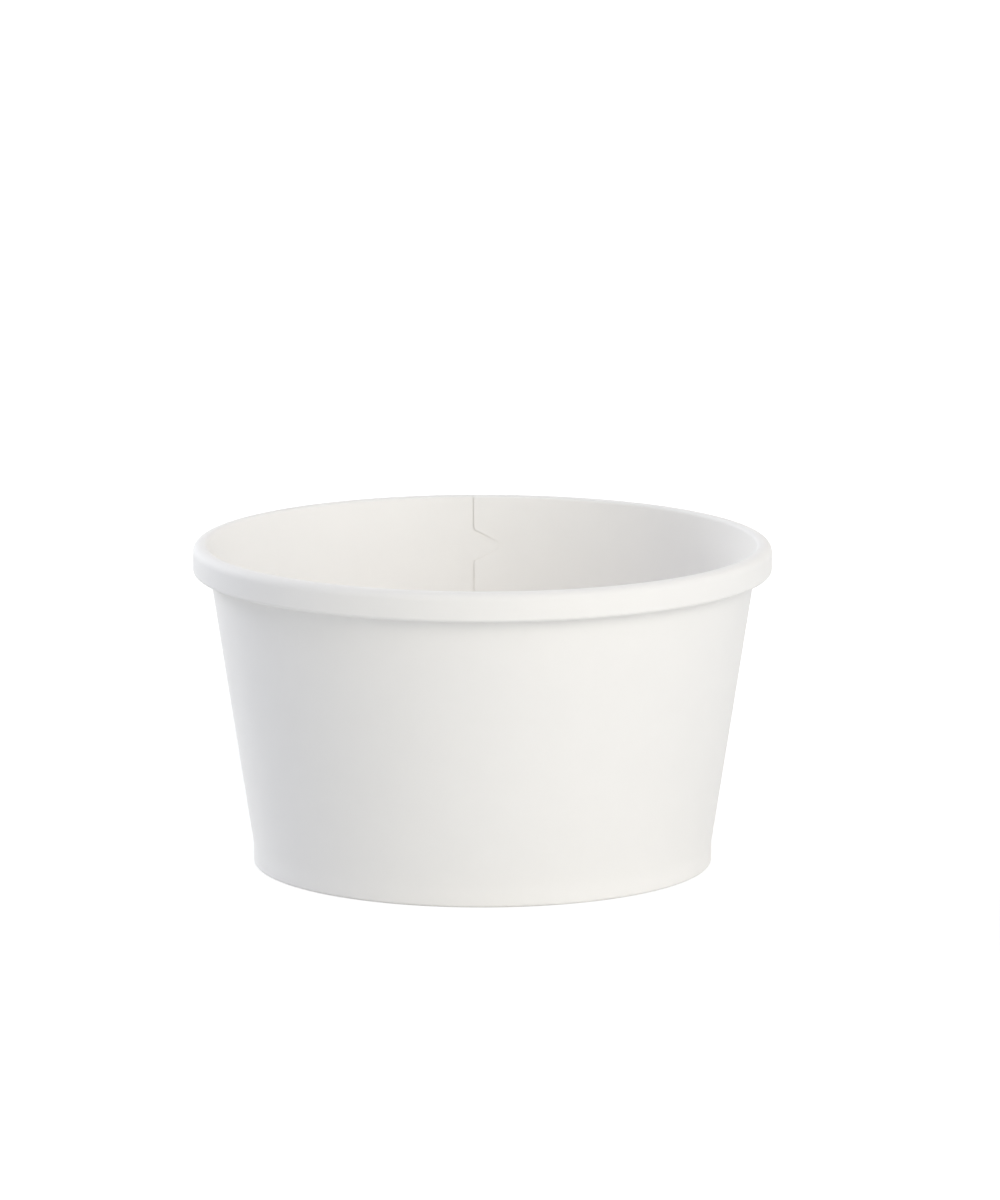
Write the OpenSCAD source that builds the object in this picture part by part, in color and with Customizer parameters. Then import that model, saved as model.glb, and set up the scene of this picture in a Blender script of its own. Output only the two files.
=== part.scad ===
// Paper soup bowl: one sheet of coated board wound into a leaning wall with a lapped side seam,
// its top edge rolled outward into the rim and its bottom edge folded up inside as a hem,
// and a round base disc whose turned-down skirt is held in that hem.
// The seam lies on the +Y side. The origin is on the table, under the middle of the foot.

/* [Bowl] */
// Outside diameter of the rolled rim
rim_d = 115; // [108:0.5:130]
// Height from the table to the top of the rim
bowl_h = 64.5; // [45:0.5:90]
// Outside diameter of the foot
foot_d = 91.3; // [80:0.1:100]

/* [Board] */
// Thickness of the wall's board
wall_board = 0.4; // [0.3:0.01:0.5]
// Thickness of the base disc's board
disc_board = 0.4; // [0.3:0.01:0.6]
// Glue line between the wall and the disc
bond_gap = 0.05; // [0.03:0.01:0.1]

/* [Rolled rim] */
// Height of the roll, seen from outside
rim_h = 5.8; // [5:0.1:8]
// Width of the roll, from its outside to the inside of the lip
rim_w = 3; // [2.8:0.05:4]
// Radius of the lip, where the wall turns outward
lip_r = 0.9; // [0.6:0.05:1]
// Radius of the shoulder, where the roll turns down
shoulder_r = 1.7; // [1:0.05:1.8]
// Radius of the lower edge, where the roll turns in under itself
roll_edge_r = 0.75; // [0.52:0.01:0.9]
// Radius of the last bend, where the board's edge is tucked up inside
tuck_r = 0.7; // [0.55:0.01:0.8]
// Length of board tucked up inside the roll
tuck_h = 2; // [1:0.1:2.5]
// Gap between the tucked board and the wall
tuck_gap = 0.15; // [0.05:0.01:0.2]

/* [Foot] */
// Height of the hem folded up inside the foot
hem_h = 5; // [4:0.1:8]
// Outside radius of the hem's two bends
hem_r = 0.55; // [0.52:0.01:0.6]
// Distance from the hem's top edge down to the corner between the upright band and the leaning wall
band_drop = 1; // [0.9:0.1:1.8]
// Length of board that the soft bend at that corner takes on each side of it
band_bend_run = 1; // [0.4:0.1:1.1]
// Height of the disc's underside above the hem's top edge
floor_rise = 1.6; // [1.4:0.1:4]
// Radius of the bend from the disc's skirt to its floor
disc_bend_r = 1.2; // [0.7:0.05:1.3]
// Gap between the skirt's lower edge and the inside of the hem
skirt_gap = 0.2; // [0.15:0.05:1]

/* [Side seam] */
// Width of the overlap between the two ends of the sheet
lap_w = 8; // [6:0.5:12]
// How far the two layers are pressed into each other
lap_press = 0.1; // [0.03:0.01:0.15]
// Depth of the notch in the edge of the inner end
notch_depth = 4.9; // [3:0.1:5.5]
// Height of the notch at the edge
notch_mouth_h = 6.4; // [4:0.1:10]
// Height of the notch at its bottom
notch_end_h = 1.5; // [1.3:0.1:4]
// Distance from the top of the rim down to the middle of the notch
notch_drop = 10; // [9:0.5:20]
// Radius of the notch's corners
notch_r = 0.6; // [0.3:0.05:0.6]

/* [Hidden] */
paper_white = [0.95, 0.94, 0.92];
$fn = 144;
fold_steps = 8;
band_steps = 4;
notch_fn = 24;
// The notch's cutter stays this far off the straight edge
edge_clear = 0.05;

// The outer end of the sheet stands this far off where it passes behind the inner end
lap_step = wall_board - lap_press;
lap_angle = lap_w / (PI * rim_d) * 360;

// The hem leaves room for the skirt at every point of the slightly spiral wall
hem_slot = disc_board + 2 * bond_gap + lap_step;
foot_r = foot_d / 2;
foot_in_r = foot_r - wall_board;
hem_out_r = foot_in_r - hem_slot;
hem_bend_in_r = hem_r - wall_board;
band_h = hem_h - band_drop;

// Centres of the bends of the rolled rim, as [radius, height]
rim_r = rim_d / 2;
lip_c = [rim_r - rim_w + lip_r, bowl_h - lip_r];
shoulder_c = [rim_r - shoulder_r, bowl_h - shoulder_r];
roll_edge_c = [rim_r - roll_edge_r, bowl_h - rim_h + roll_edge_r];

// The wall's inside face is the straight line from the foot band that just touches the lip
lip_from_band = lip_c - [foot_in_r, band_h];
wall_lean = atan2(lip_from_band.x, lip_from_band.y) - asin(lip_r / norm(lip_from_band));
band_bend_r = band_bend_run / tan(wall_lean / 2);
band_bend_c = [foot_in_r + band_bend_r, band_h - band_bend_run];
function wall_in_r(z) = foot_in_r + (z - band_h) * tan(wall_lean);
function wall_out_r(z) = wall_in_r(z) + wall_board / cos(wall_lean);

tuck_z = bowl_h - rim_h + tuck_r;
tuck_c = [wall_out_r(tuck_z) + (tuck_gap + tuck_r) / cos(wall_lean), tuck_z];
tuck_run = tuck_h * [sin(wall_lean), cos(wall_lean)];

floor_h = hem_h + floor_rise + disc_board;
skirt_out_r = foot_in_r - bond_gap;
skirt_z = wall_board + skirt_gap;
disc_bend_z = floor_h - disc_bend_r;
disc_bend_c = [wall_in_r(disc_bend_z) - (bond_gap + disc_bend_r) / cos(wall_lean), disc_bend_z];

function at_angle(centre, radius, angle) = centre + radius * [cos(angle), sin(angle)];
function arc(centre, radius, from, to, steps = fold_steps) =
    [for (i = [0 : steps]) at_angle(centre, radius, from + (to - from) * i / steps)];
function reversed(points) = [for (i = [len(points) - 1 : -1 : 0]) points[i]];

// The soft bend from the upright band to the leaning wall, on a face that lies inward of the wall's food side
function band_bend(inward) = arc(band_bend_c, band_bend_r + inward, 180, 180 - wall_lean, band_steps);

// One face of the wall's board in section, from the hem's edge down round the foot, up the wall,
// over the rim and up to the tucked edge. depth is 0 on the food side and one board on the other.
function wall_face(depth) = concat(
    [[hem_out_r - depth, hem_h]],
    arc([hem_out_r + hem_bend_in_r, hem_r], hem_bend_in_r + depth, 180, 270),
    arc([foot_in_r - hem_bend_in_r, hem_r], hem_bend_in_r + depth, 270, 360),
    band_bend(-depth),
    arc(lip_c, lip_r - depth, 180 - wall_lean, 90),
    arc(shoulder_c, shoulder_r - depth, 90, 0),
    arc(roll_edge_c, roll_edge_r - depth, 0, -90),
    arc(tuck_c, tuck_r - depth, -90, -180 - wall_lean),
    [at_angle(tuck_c, tuck_r - depth, -180 - wall_lean) + tuck_run]
);

module wall_section() {
    food_side = wall_face(0);
    outer_side = wall_face(wall_board);
    polygon(concat(food_side, reversed(outer_side)));
}

// The straight part of the wall, which alone goes on behind the inner end as the outer lap
module lap_section() {
    top_z = bowl_h - rim_h - tuck_gap;
    polygon(concat(
        [[foot_in_r, hem_r], [foot_r, hem_r]],
        band_bend(-wall_board),
        [[wall_out_r(top_z), top_z], [wall_in_r(top_z), top_z]],
        reversed(band_bend(0))
    ));
}

// The open side of the inner end's edge, with the notch that is cut into that edge
module edge_cut() {
    edge_x = -edge_clear;
    beyond_x = edge_x - lap_w;
    mid_z = bowl_h - notch_drop;
    translate([0, rim_d, 0])
        rotate([90, 0, 0])
            linear_extrude(rim_d)
                offset(r = notch_r, $fn = notch_fn)
                    offset(r = -2 * notch_r, $fn = notch_fn)
                        offset(r = notch_r, $fn = notch_fn)
                            polygon([
                                [beyond_x, mid_z - bowl_h],
                                [edge_x, mid_z - bowl_h],
                                [edge_x, mid_z - notch_mouth_h / 2],
                                [edge_x + notch_depth, mid_z - notch_end_h / 2],
                                [edge_x + notch_depth, mid_z + notch_end_h / 2],
                                [edge_x, mid_z + notch_mouth_h / 2],
                                [edge_x, mid_z + bowl_h],
                                [beyond_x, mid_z + bowl_h]
                            ]);
}

// The half turn that ends in the inner lap
module inner_half() {
    difference() {
        rotate([0, 0, -90])
            rotate_extrude(angle = 180)
                wall_section();
        edge_cut();
    }
}

// The other half turn winds slowly outward, so that it passes behind the inner lap
module outer_half() {
    translate([0, lap_step / 2, 0]) {
        rotate([0, 0, 90])
            rotate_extrude(angle = 180)
                translate([lap_step / 2, 0])
                    wall_section();
        mirror([1, 0, 0])
            rotate([0, 0, 90])
                rotate_extrude(angle = lap_angle)
                    translate([lap_step / 2, 0])
                        lap_section();
    }
}

module side_wall() {
    color(paper_white) {
        inner_half();
        outer_half();
    }
}

module base_disc() {
    color(paper_white)
        rotate_extrude()
            polygon(concat(
                [[0, floor_h - disc_board], [0, floor_h]],
                arc(disc_bend_c, disc_bend_r, 90, -wall_lean),
                reversed(band_bend(bond_gap)),
                [[skirt_out_r, skirt_z], [skirt_out_r - disc_board, skirt_z]],
                band_bend(bond_gap + disc_board),
                arc(disc_bend_c, disc_bend_r - disc_board, -wall_lean, 90)
            ));
}

side_wall();
base_disc();
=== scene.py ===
"""Looks of a white paper soup bowl: a wound side wall with a rolled rim, and a base disc.

Both pieces are board in section. One Geometry Nodes tree winds a section round the bowl's axis.
All lengths are in metres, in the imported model's frame, with +Z up and the seam on the +Y side.
"""

import math

import bmesh
import bpy
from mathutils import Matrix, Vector


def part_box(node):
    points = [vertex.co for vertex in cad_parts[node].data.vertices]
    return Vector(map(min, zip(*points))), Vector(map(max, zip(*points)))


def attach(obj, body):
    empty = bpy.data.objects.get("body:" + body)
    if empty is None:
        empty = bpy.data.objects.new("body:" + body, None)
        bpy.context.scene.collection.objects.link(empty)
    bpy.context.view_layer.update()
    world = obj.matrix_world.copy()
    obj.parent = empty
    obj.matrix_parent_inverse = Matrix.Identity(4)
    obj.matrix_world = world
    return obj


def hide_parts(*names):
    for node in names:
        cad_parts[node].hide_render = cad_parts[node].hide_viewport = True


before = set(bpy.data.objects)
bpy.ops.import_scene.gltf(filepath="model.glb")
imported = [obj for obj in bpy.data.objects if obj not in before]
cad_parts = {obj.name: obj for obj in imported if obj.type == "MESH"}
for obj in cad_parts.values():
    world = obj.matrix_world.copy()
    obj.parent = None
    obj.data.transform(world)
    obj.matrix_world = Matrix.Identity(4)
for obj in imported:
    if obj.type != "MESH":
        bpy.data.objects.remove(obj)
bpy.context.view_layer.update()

MM = 0.001

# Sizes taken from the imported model
wall_low, wall_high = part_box("side_wall")
disc_low, disc_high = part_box("base_disc")
RIM_R = wall_high.x
BOWL_H = wall_high.z
FLOOR_H = disc_high.z
SKIRT_Z = disc_low.z
# The wall's second half is wound wider by half a step, so its box reaches further on the -X side
LAP_STEP = 2 * (-wall_low.x - wall_high.x)

# Board and foot
BOARD = 0.4 * MM
FOOT_R = 45.65 * MM
GLUE_LINE = 0.05 * MM
HEM_H = 5 * MM
HEM_SLOT = BOARD + 2 * GLUE_LINE + LAP_STEP
HEM_BEND_R = 0.55 * MM
FOOT_IN_R = FOOT_R - BOARD
HEM_OUT_R = FOOT_IN_R - HEM_SLOT
KNURL_COUNT = 200
KNURL_HEIGHT = 0.08 * MM
BAND_H = 4 * MM
BAND_BEND_RUN = 1 * MM
DISC_BEND_R = 1.2 * MM

# Rolled rim
RIM_H = 5.8 * MM
RIM_W = 3 * MM
LIP_R = 0.9 * MM
SHOULDER_R = 1.7 * MM
ROLL_EDGE_R = 0.75 * MM
TUCK_R = 0.7 * MM
TUCK_H = 2 * MM
TUCK_GAP = 0.15 * MM

# Side seam
LAP_W = 8 * MM
LAP_ANGLE = LAP_W / RIM_R
NOTCH_DEPTH = 4.9 * MM
NOTCH_MOUTH_H = 6.4 * MM
NOTCH_END_H = 1.5 * MM
NOTCH_Z = BOWL_H - 10 * MM
NOTCH_CORNER = 0.8 * MM
NOTCH_PRESS = 0.17 * MM
PRESS_ALONG = 8 * MM
PRESS_UPRIGHT = 5.5 * MM

# How finely the pieces are meshed
BEND_STEPS = 8
BAND_STEPS = 4
BEND_SUPPORT = 0.12 * MM
LEAST_STRAIGHT = 4 * BEND_SUPPORT
NOTCH_ROW = 0.16 * MM
NOTCH_MARGIN = 2.3 * MM
WALL_COLUMNS = 240
LAP_COLUMNS = 12
DISC_COLUMNS = 144
COLUMN_EASE = 0.85
KNURL_CUTS = 11
WELD = 0.001 * MM
SHARP_ANGLE = math.radians(35)

BACK_ANGLE = math.pi / 2
FRONT_ANGLE = -math.pi / 2
FULL_TURN = 2 * math.pi


# Sections of board

def at_angle(centre, radius, degrees):
    turn = math.radians(degrees)
    return Vector((centre[0] + radius * math.cos(turn), centre[1] + radius * math.sin(turn)))


def bend(centre, food_r, outer_r, first, last, steps=BEND_STEPS):
    """Rows of board round a bend. A row is a point on the food side and one on the outer side."""
    degrees = [first + (last - first) * step / steps for step in range(steps + 1)]
    return [(at_angle(centre, food_r, turn), at_angle(centre, outer_r, turn)) for turn in degrees]


def between(row_a, row_b, share):
    return tuple(a.lerp(b, share) for a, b in zip(row_a, row_b))


def supported(runs):
    """Joins bends into one list of rows, with a row close to each end of the board between them."""
    rows = list(runs[0])
    for run in runs[1:]:
        start, end = rows[-1], run[0]
        length = max((end[0] - start[0]).length, (end[1] - start[1]).length)
        if length > LEAST_STRAIGHT:
            share = BEND_SUPPORT / length
            rows += [between(start, end, share), between(start, end, 1 - share)]
        rows += run
    return rows


def wall_lean():
    """Angle of the wall off the upright, with its inside face just touching the lip's bend."""
    run = RIM_R - RIM_W + LIP_R - FOOT_IN_R
    rise = BOWL_H - LIP_R - BAND_H
    return math.atan2(run, rise) - math.asin(LIP_R / math.hypot(run, rise))


LEAN = wall_lean()
LEAN_DEG = math.degrees(LEAN)


def wall_in_r(z):
    return FOOT_IN_R + (z - BAND_H) * math.tan(LEAN)


def wall_out_r(z):
    return wall_in_r(z) + BOARD / math.cos(LEAN)


def band_bend(food_inward, outer_inward, first, last):
    """Rows of the soft bend between the upright foot band and the leaning wall.

    It goes from the first lean to the last, in degrees. The board's two faces lie this far inward
    of the wall's food side.
    """
    radius = BAND_BEND_RUN / math.tan(LEAN / 2)
    centre = (FOOT_IN_R + radius, BAND_H - BAND_BEND_RUN)
    food_r, outer_r = radius + food_inward, radius + outer_inward
    return bend(centre, food_r, outer_r, 180 - first, 180 - last, BAND_STEPS)


def wall_row(z):
    return Vector((wall_in_r(z), z)), Vector((wall_out_r(z), z))


def wall_rows():
    """Rows of the wall's board from the hem's edge, round the foot and the rim, to the tucked edge.

    Also gives the first and last row of the lap, which is the part that goes on behind the seam.
    """
    inner_r = HEM_BEND_R - BOARD
    hem_edge = (Vector((HEM_OUT_R, HEM_H)), Vector((HEM_OUT_R - BOARD, HEM_H)))
    hem_in = bend((HEM_OUT_R + inner_r, HEM_BEND_R), inner_r, HEM_BEND_R, 180, 270)
    hem_out = bend((FOOT_IN_R - inner_r, HEM_BEND_R), inner_r, HEM_BEND_R, 270, 360)
    band = band_bend(0, -BOARD, 0, LEAN_DEG)

    lap_top = BOWL_H - RIM_H - TUCK_GAP
    notch_low = NOTCH_Z - NOTCH_MOUTH_H / 2 - NOTCH_MARGIN
    notch_run = lap_top - notch_low
    count = math.ceil(notch_run / NOTCH_ROW)
    notch = [wall_row(notch_low + notch_run * step / count) for step in range(count + 1)]

    lip_c = (RIM_R - RIM_W + LIP_R, BOWL_H - LIP_R)
    lip = bend(lip_c, LIP_R, LIP_R - BOARD, 180 - LEAN_DEG, 90)
    shoulder_c = (RIM_R - SHOULDER_R, BOWL_H - SHOULDER_R)
    shoulder = bend(shoulder_c, SHOULDER_R, SHOULDER_R - BOARD, 90, 0)
    roll_edge_c = (RIM_R - ROLL_EDGE_R, BOWL_H - RIM_H + ROLL_EDGE_R)
    roll_edge = bend(roll_edge_c, ROLL_EDGE_R, ROLL_EDGE_R - BOARD, 0, -90)
    tuck_z = BOWL_H - RIM_H + TUCK_R
    tuck_c = (wall_out_r(tuck_z) + (TUCK_GAP + TUCK_R) / math.cos(LEAN), tuck_z)
    tuck = bend(tuck_c, TUCK_R, TUCK_R - BOARD, -90, -180 - LEAN_DEG)
    rise = TUCK_H * Vector((math.sin(LEAN), math.cos(LEAN)))
    tuck_edge = tuple(point + rise for point in tuck[-1])

    rows = supported([
        [hem_edge], hem_in, hem_out, band, notch, lip, shoulder, roll_edge, tuck, [tuck_edge],
    ])
    return rows, rows.index(hem_out[-1]), rows.index(notch[-1])


def disc_outline():
    """The base disc's top, from its middle to the skirt's edge, and its underside back again."""
    bend_z = FLOOR_H - DISC_BEND_R
    bend_c = (wall_in_r(bend_z) - (GLUE_LINE + DISC_BEND_R) / math.cos(LEAN), bend_z)
    skirt_r = FOOT_IN_R - GLUE_LINE
    rows = supported([
        [(Vector((0, FLOOR_H)), Vector((0, FLOOR_H - BOARD)))],
        bend(bend_c, DISC_BEND_R, DISC_BEND_R - BOARD, 90, -LEAN_DEG),
        band_bend(GLUE_LINE, GLUE_LINE + BOARD, LEAN_DEG, 0),
        [(Vector((skirt_r, SKIRT_Z)), Vector((skirt_r - BOARD, SKIRT_Z)))],
    ])
    return [top for top, under in rows], [under for top, under in reversed(rows)]


# Node trees

class Tree:
    """Adds nodes to a tree and joins them in short calls."""

    def __init__(self, tree):
        self.tree = tree

    def add(self, kind, inputs=None, **settings):
        node = self.tree.nodes.new(kind)
        for name, value in settings.items():
            setattr(node, name, value)
        for key, value in (inputs or {}).items():
            self.feed(node.inputs[key], value)
        return node

    def output(self, kind, inputs=None, **settings):
        """Adds a node and gives its first output."""
        return self.add(kind, inputs, **settings).outputs[0]

    def feed(self, socket, value):
        if isinstance(value, bpy.types.NodeSocket):
            self.tree.links.new(value, socket)
        else:
            socket.default_value = value

    def math(self, operation, *values):
        return self.output("ShaderNodeMath", dict(enumerate(values)), operation=operation)


WIND_SIZES = {
    "Columns": "NodeSocketInt",
    "First angle": "NodeSocketFloat",
    "Last angle": "NodeSocketFloat",
    "Column ease": "NodeSocketFloat",
    "Lap step": "NodeSocketFloat",
    "Notch depth": "NodeSocketFloat",
    "Notch mouth": "NodeSocketFloat",
    "Notch end": "NodeSocketFloat",
    "Notch height": "NodeSocketFloat",
    "Notch corner": "NodeSocketFloat",
    "Press depth": "NodeSocketFloat",
    "Press along": "NodeSocketFloat",
    "Press upright": "NodeSocketFloat",
    "Weld": "NodeSocketFloat",
    "Board": "NodeSocketMaterial",
}


def notch_angle(t, size, radius, height):
    """Angle by which the notch sets the sheet's first edge back at this height."""
    half_mouth = t.math("DIVIDE", size["Notch mouth"], 2.0)
    half_end = t.math("DIVIDE", size["Notch end"], 2.0)
    slope = t.math("DIVIDE", size["Notch depth"], t.math("SUBTRACT", half_mouth, half_end))
    off_middle = t.math("ABSOLUTE", t.math("SUBTRACT", height, size["Notch height"]))
    flank = t.math("MULTIPLY", t.math("SUBTRACT", half_mouth, off_middle), slope)
    mouth = t.math("SMOOTH_MAX", flank, 0.0, size["Notch corner"])
    cut = t.math("SMOOTH_MIN", mouth, size["Notch depth"], size["Notch corner"])
    return t.math("ARCSINE", t.math("DIVIDE", cut, radius))


def notch_press(t, size, along, height):
    """How far the sheet is pressed outward round the notch's bottom, so that it is almost flush."""
    past_bottom = t.math("SUBTRACT", along, size["Notch depth"])
    off_middle = t.math("SUBTRACT", height, size["Notch height"])
    aside = t.math("DIVIDE", past_bottom, size["Press along"])
    above = t.math("DIVIDE", off_middle, size["Press upright"])
    away = t.math("SQRT", t.math("MULTIPLY_ADD", aside, aside, t.math("MULTIPLY", above, above)))
    fade = {"Value": away, "To Min": 1.0, "To Max": 0.0}
    ease = t.output("ShaderNodeMapRange", fade, interpolation_type="SMOOTHSTEP")
    return t.math("MULTIPLY", ease, size["Press depth"])


def wound_place(t, size, radius, height, turn):
    """Where a point of the section lies once the sheet is wound round the bowl's axis."""
    wave = t.math("SINE", t.math("MULTIPLY", turn, FULL_TURN))
    ease = t.math("DIVIDE", t.math("MULTIPLY", wave, size["Column ease"]), FULL_TURN)
    share = t.math("SUBTRACT", turn, ease)
    first = t.math("SUBTRACT", size["First angle"], notch_angle(t, size, radius, height))
    sweep = t.math("SUBTRACT", size["Last angle"], first)
    angle = t.math("MULTIPLY_ADD", sweep, share, first)
    past_front = t.math("LESS_THAN", angle, FRONT_ANGLE)
    grow = t.math("MULTIPLY", past_front, t.math("DIVIDE", size["Lap step"], 2.0))
    along = t.math("MULTIPLY", radius, t.math("SUBTRACT", size["First angle"], angle))
    pressed_r = t.math("ADD", radius, notch_press(t, size, along, height))
    wound_r = t.math("ADD", pressed_r, grow)
    x = t.math("MULTIPLY", wound_r, t.math("COSINE", angle))
    y = t.math("MULTIPLY_ADD", wound_r, t.math("SINE", angle), grow)
    return t.output("ShaderNodeCombineXYZ", {0: x, 1: y, 2: height})


def wind_tree():
    """The tree that winds a flat section of board, where X is the radius and Y the height."""
    tree = bpy.data.node_groups.new("wind_board", "GeometryNodeTree")
    tree.interface.new_socket("Geometry", in_out="OUTPUT", socket_type="NodeSocketGeometry")
    tree.interface.new_socket("Section", in_out="INPUT", socket_type="NodeSocketGeometry")
    for name, kind in WIND_SIZES.items():
        tree.interface.new_socket(name, in_out="INPUT", socket_type=kind)
    t = Tree(tree)
    size = t.add("NodeGroupInput").outputs

    def keep(geometry, name, value):
        marked = {"Geometry": geometry, "Name": name, "Value": value}
        return t.output("GeometryNodeStoreNamedAttribute", marked, data_type="FLOAT", domain="POINT")

    def kept(name):
        return t.output("GeometryNodeInputNamedAttribute", {"Name": name}, data_type="FLOAT")

    place = t.output("GeometryNodeInputPosition")
    flat = t.add("ShaderNodeSeparateXYZ", {0: place}).outputs
    section = keep(keep(size["Section"], "from_axis", flat["X"]), "above_table", flat["Y"])

    faces_beside = t.output("GeometryNodeInputMeshEdgeNeighbors")
    on_outline = t.math("LESS_THAN", faces_beside, 2.0)
    outline = t.output("GeometryNodeMeshToCurve", {"Mesh": section, "Selection": on_outline})
    line = t.output("GeometryNodeCurvePrimitiveLine")
    points = t.math("ADD", size["Columns"], 1.0)
    path = t.output("GeometryNodeResampleCurve", {"Curve": line, "Count": points})
    path = keep(path, "turn", t.add("GeometryNodeSplineParameter").outputs["Factor"])
    sheet = t.output("GeometryNodeCurveToMesh", {"Curve": path, "Profile Curve": outline})

    joined = t.add("GeometryNodeJoinGeometry")
    for part in (sheet, keep(section, "turn", 0.0), keep(section, "turn", 1.0)):
        t.tree.links.new(part, joined.inputs[0])
    wound = wound_place(t, size, kept("from_axis"), kept("above_table"), kept("turn"))
    placed = t.output("GeometryNodeSetPosition", {"Geometry": joined.outputs[0], "Position": wound})
    plain = t.output("GeometryNodeMergeByDistance", {"Geometry": placed, "Distance": size["Weld"]})
    for name in ("from_axis", "above_table", "turn"):
        plain = t.output("GeometryNodeRemoveAttribute", {"Geometry": plain, "Name": name})
    real = t.output("GeometryNodeRealizeInstances", {"Geometry": plain})
    dressed = t.output("GeometryNodeSetMaterial", {"Geometry": real, "Material": size["Board"]})
    t.add("NodeGroupOutput", {"Geometry": dressed})
    return tree


def keep_depth(mesh, depths):
    """Marks how deep each point lies in the board: 0 on the food side and 1 on the other."""
    attribute = mesh.attributes.new("board_depth", "FLOAT", "POINT")
    attribute.data.foreach_set("value", depths)


def flat_section(name, rows):
    """Board in section as a strip of faces, one between each two rows."""
    mesh = bpy.data.meshes.new(name)
    points = [(side.x, side.y, 0.0) for row in rows for side in row]
    faces = [(i, i + 1, i + 3, i + 2) for i in range(0, len(points) - 2, 2)]
    mesh.from_pydata(points, [], faces)
    keep_depth(mesh, [0.0, 1.0] * len(rows))
    return mesh


def flat_outline(name, top, under):
    """A section that starts and ends on the axis, as one open chain of edges."""
    mesh = bpy.data.meshes.new(name)
    points = [(point.x, point.y, 0.0) for point in top + under]
    mesh.from_pydata(points, [(i, i + 1) for i in range(len(points) - 1)], [])
    keep_depth(mesh, [0.0] * len(top) + [1.0] * len(under))
    return mesh


def wound(tree, section, **sizes):
    """Winds a flat section and returns the result as a plain mesh."""
    work = bpy.data.objects.new(section.name, section)
    bpy.context.scene.collection.objects.link(work)
    modifier = work.modifiers.new("wind", "NODES")
    modifier.node_group = tree
    inputs = [item for item in tree.interface.items_tree if item.in_out == "INPUT"]
    sockets = {item.name: item.identifier for item in inputs}
    for name, value in sizes.items():
        modifier[sockets[name.replace("_", " ").capitalize()]] = value
    depsgraph = bpy.context.evaluated_depsgraph_get()
    mesh = bpy.data.meshes.new_from_object(work.evaluated_get(depsgraph), depsgraph=depsgraph)
    work.modifiers.clear()
    bpy.data.objects.remove(work)
    return mesh


def press_knurl(shape):
    """Presses upright ridges into the inside of the hem, where the foot was rolled tight."""
    depth = shape.verts.layers.float["board_depth"]

    def on_band(point):
        off_ends = min(HEM_H - point.co.z, point.co.z - HEM_BEND_R)
        return point[depth] > 0.5 and point.co.xy.length < HEM_OUT_R and off_ends > BEND_SUPPORT / 2

    def is_level(edge):
        start, end = edge.verts
        return on_band(start) and on_band(end) and abs(start.co.z - end.co.z) < WELD

    level = [edge for edge in shape.edges if is_level(edge)]
    bmesh.ops.subdivide_edges(shape, edges=level, cuts=KNURL_CUTS, use_grid_fill=True)
    for point in filter(on_band, shape.verts):
        grow = LAP_STEP / 2 if point.co.x < 0 else 0.0
        middle = Vector((0, grow, point.co.z))
        out = (point.co - middle).normalized()
        wave = math.sin(KNURL_COUNT * math.atan2(out.y, out.x))
        point.co = middle + out * (HEM_OUT_R - BOARD + grow + wave * KNURL_HEIGHT / 2)


def piece(name, meshes, material, press=None):
    """Joins wound meshes into one closed piece, with the faces between them taken out."""
    shape = bmesh.new()
    for mesh in meshes:
        shape.from_mesh(mesh)
    bmesh.ops.remove_doubles(shape, verts=shape.verts, dist=WELD)
    inner = [face for face in shape.faces
             if sum(len(edge.link_faces) > 2 for edge in face.edges) > 1]
    bmesh.ops.delete(shape, geom=inner, context="FACES")
    if press:
        press(shape)
    bmesh.ops.recalc_face_normals(shape, faces=shape.faces)
    mesh = bpy.data.meshes.new(name)
    shape.to_mesh(mesh)
    shape.free()
    mesh.materials.clear()
    mesh.materials.append(material)
    mesh.shade_smooth()
    mesh.set_sharp_from_angle(angle=SHARP_ANGLE)
    made = bpy.data.objects.new(name, mesh)
    bpy.context.scene.collection.objects.link(made)
    return made


# Materials

BOARD_WHITE = (0.9, 0.885, 0.86)
BOARD_CORE = (0.84, 0.805, 0.745, 1)
FOOD_SIDE_ROUGHNESS = 0.68
OUTER_SIDE_ROUGHNESS = 0.7
CORE_ROUGHNESS = 0.85
CLOUD = 7 * MM
CLOUD_DETAIL = 2.0
CLOUD_TONE = 0.02
GRAIN = 0.5 * MM
GRAIN_DETAIL = 3.0
GRAIN_TONE = 0.012
GRAIN_ROUGHNESS = 0.08
FOOD_SIDE_GRAIN_H = 0.001 * MM
OUTER_SIDE_GRAIN_H = 0.004 * MM


def noise(t, place, grain, detail):
    """Smooth random value from -0.5 to 0.5 whose patches are about one grain wide."""
    sizes = {"Vector": place, "Scale": 1 / grain, "Detail": detail}
    return t.math("SUBTRACT", t.output("ShaderNodeTexNoise", sizes), 0.5)


def blend_value(t, share, first, second):
    return t.output("ShaderNodeMix", {0: share, 2: first, 3: second}, data_type="FLOAT")


def blend_colour(t, share, first, second):
    mixed = t.add("ShaderNodeMix", {0: share, 6: first, 7: second}, data_type="RGBA")
    return mixed.outputs[2]


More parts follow.
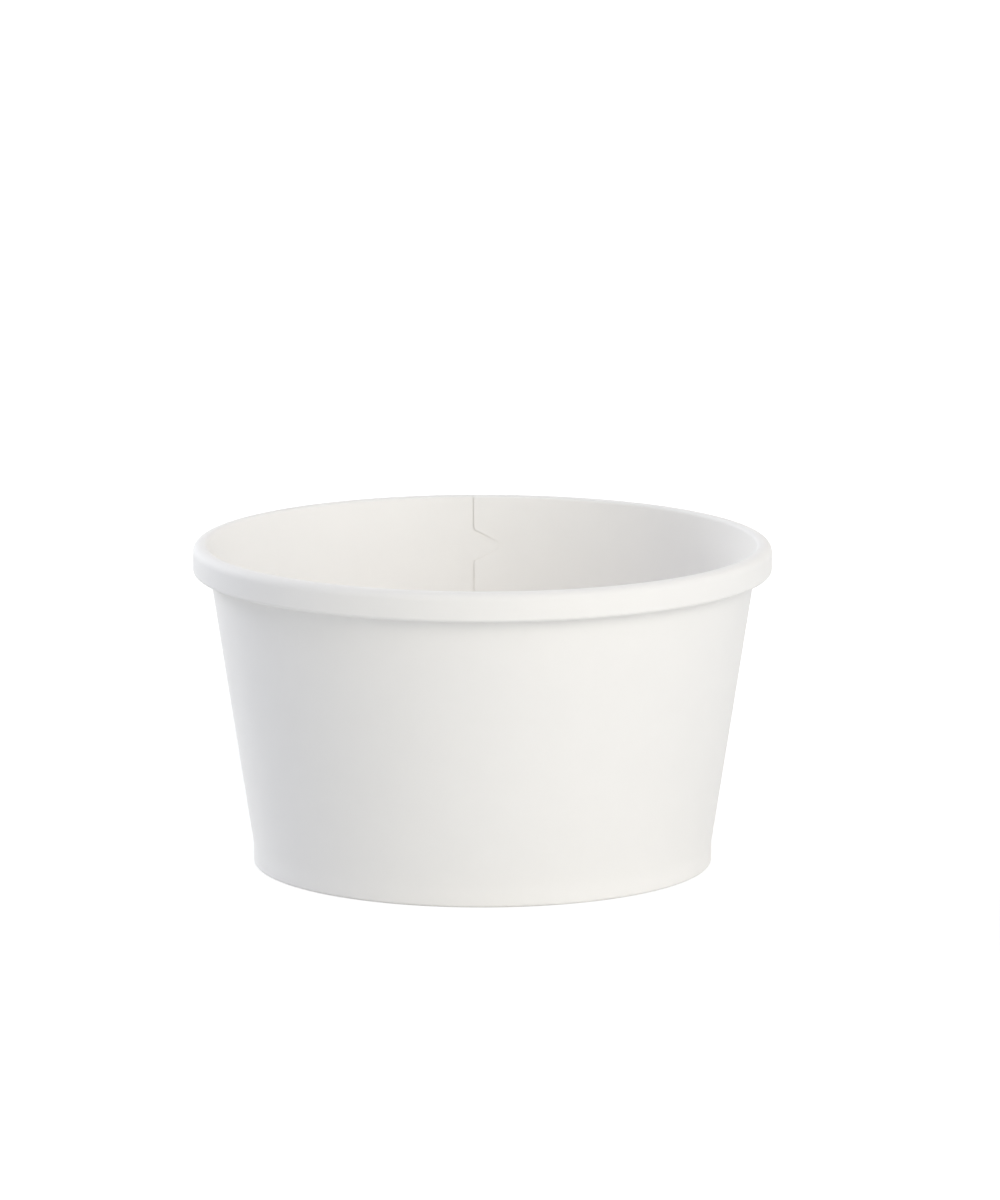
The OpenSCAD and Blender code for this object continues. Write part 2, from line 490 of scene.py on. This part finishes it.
def coated_board(name):
    """White board with a satin food side, a finely grained outside and a raw core at cut edges."""
    material = bpy.data.materials.new(name)
    material.use_nodes = True
    t = Tree(material.node_tree)
    shader = material.node_tree.nodes["Principled BSDF"]
    place = t.add("ShaderNodeTexCoord").outputs["Object"]
    depth = t.add("ShaderNodeAttribute", attribute_name="board_depth").outputs["Fac"]
    cloud = noise(t, place, CLOUD, CLOUD_DETAIL)
    grain = noise(t, place, GRAIN, GRAIN_DETAIL)
    # 1 in the middle of the board's thickness and 0 on its two faces
    core = t.math("MULTIPLY", t.math("MULTIPLY", depth, t.math("SUBTRACT", 1.0, depth)), 4.0)

    tone = t.math("MULTIPLY_ADD", cloud, CLOUD_TONE, 1.0)
    tone = t.math("MULTIPLY_ADD", grain, GRAIN_TONE, tone)
    white = t.output("ShaderNodeVectorMath", {0: BOARD_WHITE, "Scale": tone}, operation="SCALE")
    t.feed(shader.inputs["Base Color"], blend_colour(t, core, white, BOARD_CORE))

    satin = blend_value(t, depth, FOOD_SIDE_ROUGHNESS, OUTER_SIDE_ROUGHNESS)
    satin = t.math("MULTIPLY_ADD", grain, GRAIN_ROUGHNESS, satin)
    t.feed(shader.inputs["Roughness"], blend_value(t, core, satin, CORE_ROUGHNESS))

    height = t.math("MULTIPLY", grain, blend_value(t, depth, FOOD_SIDE_GRAIN_H, OUTER_SIDE_GRAIN_H))
    bump = t.output("ShaderNodeBump", {"Strength": 1.0, "Distance": 1.0, "Height": height})
    t.feed(shader.inputs["Normal"], bump)
    return material


def seen_directly(t):
    """1 for what the camera, a mirror or glass sees, and 0 for light that falls on other things."""
    path = t.add("ShaderNodeLightPath").outputs
    seen = t.math("MAXIMUM", path["Is Camera Ray"], path["Is Glossy Ray"])
    return t.math("MAXIMUM", seen, path["Is Transmission Ray"])


FLOOR_WHITE = (0.8, 0.8, 0.8, 1)
FLOOR_SHADE = (0.4, 0.4, 0.4, 1)
FLOOR_GLOW_NEAR = 0.7
FLOOR_GLOW_FAR = 1.0
FLOOR_NEAR = 0.12
FLOOR_FAR = 0.45


def floor_white(name):
    """Pale floor that shows white where light falls on it and keeps the bowl's soft shadow."""
    material = bpy.data.materials.new(name)
    material.use_nodes = True
    material.node_tree.nodes.clear()
    t = Tree(material.node_tree)
    place = t.add("ShaderNodeTexCoord").outputs["Object"]
    away = t.add("ShaderNodeVectorMath", {0: place}, operation="LENGTH").outputs["Value"]
    glow = t.output("ShaderNodeMapRange", {
        "Value": away, "From Min": FLOOR_NEAR, "From Max": FLOOR_FAR,
        "To Min": FLOOR_GLOW_NEAR, "To Max": FLOOR_GLOW_FAR,
    })
    lit = t.output("ShaderNodeBsdfDiffuse", {"Color": FLOOR_WHITE})
    shade = t.output("ShaderNodeBsdfDiffuse", {"Color": FLOOR_SHADE})
    white = t.output("ShaderNodeEmission", {"Strength": glow})
    seen = t.output("ShaderNodeAddShader", {0: shade, 1: white})
    mixed = t.output("ShaderNodeMixShader", {0: seen_directly(t), 1: lit, 2: seen})
    t.add("ShaderNodeOutputMaterial", {"Surface": mixed})
    return material


# Pieces

tree = wind_tree()
wall_board = coated_board("wall_board")
disc_board = coated_board("disc_board")

notched = dict(
    notch_depth=NOTCH_DEPTH, notch_mouth=NOTCH_MOUTH_H, notch_end=NOTCH_END_H, notch_height=NOTCH_Z,
    notch_corner=NOTCH_CORNER, press_depth=NOTCH_PRESS, press_along=PRESS_ALONG,
    press_upright=PRESS_UPRIGHT)
straight = dict(notched, notch_depth=0.0, notch_corner=0.0, press_depth=0.0)
seam_end = BACK_ANGLE - FULL_TURN

rows, lap_first, lap_last = wall_rows()
wall_sheet = wound(
    tree, flat_section("wall_section", rows), columns=WALL_COLUMNS, column_ease=COLUMN_EASE,
    first_angle=BACK_ANGLE, last_angle=seam_end,
    lap_step=LAP_STEP, weld=WELD, board=wall_board, **notched)
lap_sheet = wound(
    tree, flat_section("lap_section", rows[lap_first:lap_last + 1]), columns=LAP_COLUMNS,
    column_ease=0.0, first_angle=seam_end, last_angle=seam_end - LAP_ANGLE,
    lap_step=LAP_STEP, weld=WELD, board=wall_board, **straight)
disc_sheet = wound(
    tree, flat_outline("disc_section", *disc_outline()), columns=DISC_COLUMNS, column_ease=0.0,
    first_angle=BACK_ANGLE, last_angle=seam_end,
    lap_step=0.0, weld=WELD, board=disc_board, **straight)

wall = piece("wall_sheet", [wall_sheet, lap_sheet], wall_board, press_knurl)
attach(wall, "root")
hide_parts("side_wall")

disc = piece("disc_sheet", [disc_sheet], disc_board)
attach(disc, "root")
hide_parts("base_disc")


# Floor, lights and camera

FLOOR_HALF = 6.0

floor_mesh = bpy.data.meshes.new("floor")
corners = [
    (-FLOOR_HALF, -FLOOR_HALF, 0), (FLOOR_HALF, -FLOOR_HALF, 0),
    (FLOOR_HALF, FLOOR_HALF, 0), (-FLOOR_HALF, FLOOR_HALF, 0),
]
floor_mesh.from_pydata(corners, [], [(0, 1, 2, 3)])
floor_mesh.materials.append(floor_white("floor_white"))
floor = bpy.data.objects.new("floor", floor_mesh)
bpy.context.scene.collection.objects.link(floor)

LAMP_AIM = Vector((0, 0, BOWL_H / 2))
LAMP_DISTANCE = 1.5
# The power at which a lamp this far off lights a facing white surface to full white
LAMP_UNIT = (math.pi * LAMP_DISTANCE) ** 2


def lamp(name, azimuth, elevation, width, strength, colour):
    """A soft square lamp. Azimuth 0 is towards the camera, and 90 is on the camera's right."""
    turn, rise = math.radians(azimuth), math.radians(elevation)
    level = math.cos(rise)
    way = Vector((math.sin(turn) * level, -math.cos(turn) * level, math.sin(rise)))
    light = bpy.data.lights.new(name, "AREA")
    light.size = width
    light.energy = strength * LAMP_UNIT
    light.color = colour
    made = bpy.data.objects.new(name, light)
    made.location = LAMP_AIM + way * LAMP_DISTANCE
    made.rotation_euler = way.to_track_quat("Z", "Y").to_euler()
    made.visible_camera = False
    bpy.context.scene.collection.objects.link(made)


lamp("front_lamp", azimuth=14, elevation=35, width=1.0, strength=0.163, colour=(1, 0.83, 0.74))
lamp("key_lamp", azimuth=32, elevation=20, width=1.0, strength=0.241, colour=(0.98, 1, 0.78))
lamp("side_lamp", azimuth=52, elevation=20, width=1.0, strength=0.188, colour=(0.89, 0.87, 1))
lamp("left_lamp", azimuth=-110, elevation=38, width=0.6, strength=0.164, colour=(0.835, 0.85, 1))
lamp("right_lamp", azimuth=145, elevation=36, width=0.5, strength=0.108, colour=(1, 0.815, 0.65))
lamp("back_lamp", azimuth=-142, elevation=18, width=0.5, strength=0.377, colour=(1, 1, 0.97))

AMBIENT_COLOUR = (0.853, 0.917, 1, 1)
AMBIENT_STRENGTH = 0.504


def studio_world():
    """Soft even light from all round, with a white background."""
    world = bpy.data.worlds.new("studio")
    world.use_nodes = True
    world.node_tree.nodes.clear()
    t = Tree(world.node_tree)
    soft = {"Color": AMBIENT_COLOUR, "Strength": AMBIENT_STRENGTH}
    ambient = t.output("ShaderNodeBackground", soft)
    white = t.output("ShaderNodeBackground", {"Color": (1, 1, 1, 1), "Strength": 1.0})
    mixed = t.output("ShaderNodeMixShader", {0: seen_directly(t), 1: ambient, 2: white})
    t.add("ShaderNodeOutputWorld", {"Surface": mixed})
    return world


bpy.context.scene.world = studio_world()

CAMERA_DISTANCE = 1.8
CAMERA_HEIGHT = 0.38133
CAMERA_ROUND = math.radians(-1.89)
CAMERA_ASIDE = math.radians(-0.109)
CAMERA_DOWN = math.radians(10.345)
CAMERA_LENS = 275.83
CAMERA_SENSOR = 36

camera = bpy.data.objects.new("camera", bpy.data.cameras.new("camera"))
camera.data.lens = CAMERA_LENS
camera.data.sensor_width = CAMERA_SENSOR
camera.location = (
    CAMERA_DISTANCE * math.sin(CAMERA_ROUND),
    -CAMERA_DISTANCE * math.cos(CAMERA_ROUND),
    CAMERA_HEIGHT,
)
camera.rotation_euler = (math.pi / 2 - CAMERA_DOWN, 0, CAMERA_ROUND + CAMERA_ASIDE)
bpy.context.scene.collection.objects.link(camera)
bpy.context.scene.camera = camera
bpy.context.scene.view_settings.view_transform = "Standard"
